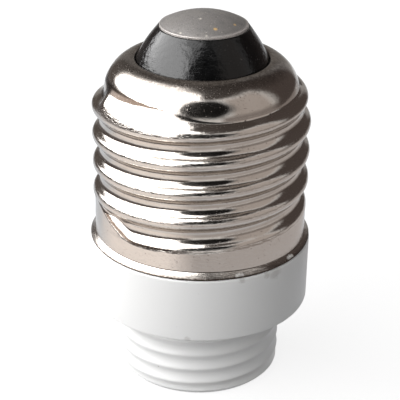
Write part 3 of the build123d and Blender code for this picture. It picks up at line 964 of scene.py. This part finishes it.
def add_floor():
    """Pale floor that looks white and keeps a soft shadow."""
    half = FLOOR_SIZE / 2 * MM
    mesh = bpy.data.meshes.new("floor")
    corners = [(-half, -half, 0), (half, -half, 0), (half, half, 0), (-half, half, 0)]
    mesh.from_pydata(corners, [], [(0, 1, 2, 3)])
    material, tree, shader = new_material("floor_paper")
    shader["Base Color"].default_value = FLOOR_COLOUR
    shader["Roughness"].default_value = 1.0
    shader["Specular IOR Level"].default_value = 0.0
    shader["Emission Color"].default_value = (1, 1, 1, 1)
    feed(tree, shader["Emission Strength"], compute(tree, "MULTIPLY", seen_directly(tree), FLOOR_GLOW))
    mesh.materials.append(material)
    floor = bpy.data.objects.new("floor", mesh)
    bpy.context.scene.collection.objects.link(floor)


def add_window():
    """Large soft light on the left."""
    data = bpy.data.lights.new("window", "AREA")
    data.shape = "RECTANGLE"
    data.size = WINDOW_SIZE[0] * MM
    data.size_y = WINDOW_SIZE[1] * MM
    data.energy = WINDOW_LEVEL * math.pi * data.size * data.size_y
    lamp = bpy.data.objects.new("window", data)
    bpy.context.scene.collection.objects.link(lamp)
    aim = towards(WINDOW_AZIMUTH, WINDOW_ELEVATION)
    lamp.matrix_world = aim.to_track_quat("Z", "Y").to_matrix().to_4x4()
    lamp.location = aim * WINDOW_DISTANCE * MM


def card_point(azimuth, elevation, reach, lift):
    """Place on a card in a direction from the object's middle, held above the floor."""
    aim = towards(azimuth, elevation)
    if aim.z < 0:
        reach = min(reach, (CARD_EYE_HEIGHT - lift) / -aim.z)
    return (Vector((0, 0, CARD_EYE_HEIGHT)) + aim * reach) * MM


def card_fade(across, up, half_width, half_height, fade, oval):
    """Strength of a card at shares of the way from its middle to its sides, falling to 0 at its edge."""
    if oval:
        edge = (1 - math.hypot(across, up)) * half_height
    else:
        edge = min((1 - abs(across)) * half_width, (1 - abs(up)) * half_height)
    return min(max(edge / fade, 0.0), 1.0)


def add_card(name, azimuths, elevations, colour, fade=CARD_FADE, distance=CARD_DISTANCE, lift=1, oval=False):
    """Soft-edged card that only shows in gloss and metal, over a range of directions."""
    middle = (sum(azimuths) / 2, sum(elevations) / 2)
    half = ((azimuths[1] - azimuths[0]) / 2, (elevations[1] - elevations[0]) / 2)
    points = []
    fades = []
    for up in even_steps(-1, 1, CARD_ROWS):
        for across in even_steps(-1, 1, CARD_COLUMNS):
            azimuth = middle[0] + half[0] * across
            elevation = middle[1] + half[1] * up
            points.append(card_point(azimuth, elevation, distance, lift))
            fades.append(card_fade(across, up, *half, fade, oval))
    faces = []
    for row in range(CARD_ROWS):
        for column in range(CARD_COLUMNS):
            start = row * (CARD_COLUMNS + 1) + column
            above = start + CARD_COLUMNS + 1
            faces.append((start, start + 1, above + 1, above))
    mesh = bpy.data.meshes.new(name)
    mesh.from_pydata(points, [], faces)
    mesh.attributes.new("fade", "FLOAT", "POINT").data.foreach_set("value", fades)
    mesh.materials.append(card_paint(name, colour))
    card = bpy.data.objects.new(name, mesh)
    bpy.context.scene.collection.objects.link(card)
    card.visible_camera = False
    card.visible_diffuse = False
    card.visible_shadow = False


def card_paint(name, colour):
    """Even colour that fades out at the card's edges."""
    material = bpy.data.materials.new(name)
    material.use_nodes = True
    tree = material.node_tree
    tree.nodes.remove(tree.nodes["Principled BSDF"])
    fade = add_node(tree, "ShaderNodeAttribute", attribute_name="fade")
    glow = add_node(tree, "ShaderNodeEmission", {"Color": (*colour, 1), "Strength": 1.0})
    clear = add_node(tree, "ShaderNodeBsdfTransparent")
    both = add_node(tree, "ShaderNodeMixShader")
    feed(tree, both.inputs[0], fade.outputs["Fac"])
    tree.links.new(clear.outputs[0], both.inputs[1])
    tree.links.new(glow.outputs[0], both.inputs[2])
    tree.links.new(both.outputs[0], tree.nodes["Material Output"].inputs["Surface"])
    return material


def add_cards():
    """White wall behind the window light, and tinted cards elsewhere. Nearer cards cover those behind."""
    add_card("white_wall", (-140, -10), (10, 98), (4.0, 4.0, 4.0), distance=WALL_DISTANCE)
    add_card("white_ceiling_edge", (-44, 10), (50, 78), (4.0, 4.0, 4.0), distance=WALL_DISTANCE - 20)
    add_card("left_skirting", (-165, -10), (-12, 13), (0.07, 0.052, 0.045), 7, WALL_DISTANCE - 40, lift=2.6)
    add_card("right_skirting", (20, 140), (-14, 10), (0.3, 0.265, 0.25), 8, CARD_DISTANCE - 5, lift=2.4)
    add_card("camera_disc", (-37, 44), (-3, 62), (0.01, 0.0093, 0.0093), 10, CARD_DISTANCE - 30, oval=True)
    add_card("beige_card", (31, 92), (-12, 58), (0.55, 0.5, 0.47))
    add_card("brown_card", (86, 162), (-20, 72), (0.09, 0.073, 0.067), fade=14, distance=CARD_DISTANCE - 10)
    add_card("back_card", (152, 204), (-12, 74), (0.3, 0.28, 0.26), distance=CARD_DISTANCE + 10)
    add_card("back_left_card", (194, 230), (-12, 74), (0.107, 0.09, 0.08), distance=CARD_DISTANCE + 20)
    add_card("overhead_card", (-6, 235), (54, 106), (0.075, 0.063, 0.057), distance=CARD_DISTANCE + 40)
    add_card("floor_back_card", (100, 285), (-85, 0), (0.72, 0.75, 0.79), fade=15)
    add_card("floor_right_card", (-36, 150), (-85, 0), (0.55, 0.515, 0.5), fade=20, lift=1.3)
    add_card("floor_left_card", (-124, -4), (-85, 0), (1.33, 1.22, 1.15), fade=32, lift=1.6)
    add_card("near_floor_right_card", (-30, 180), (-88, -30), (0.66, 0.66, 0.68), fade=10, lift=1.9)
    add_card("near_floor_left_card", (-180, -10), (-88, -30), (1.05, 1.03, 1.02), fade=12, lift=2.2)


add_pieces()
add_camera()
add_world()
add_floor()
add_window()
add_cards()
bpy.context.scene.view_settings.view_transform = "Standard"
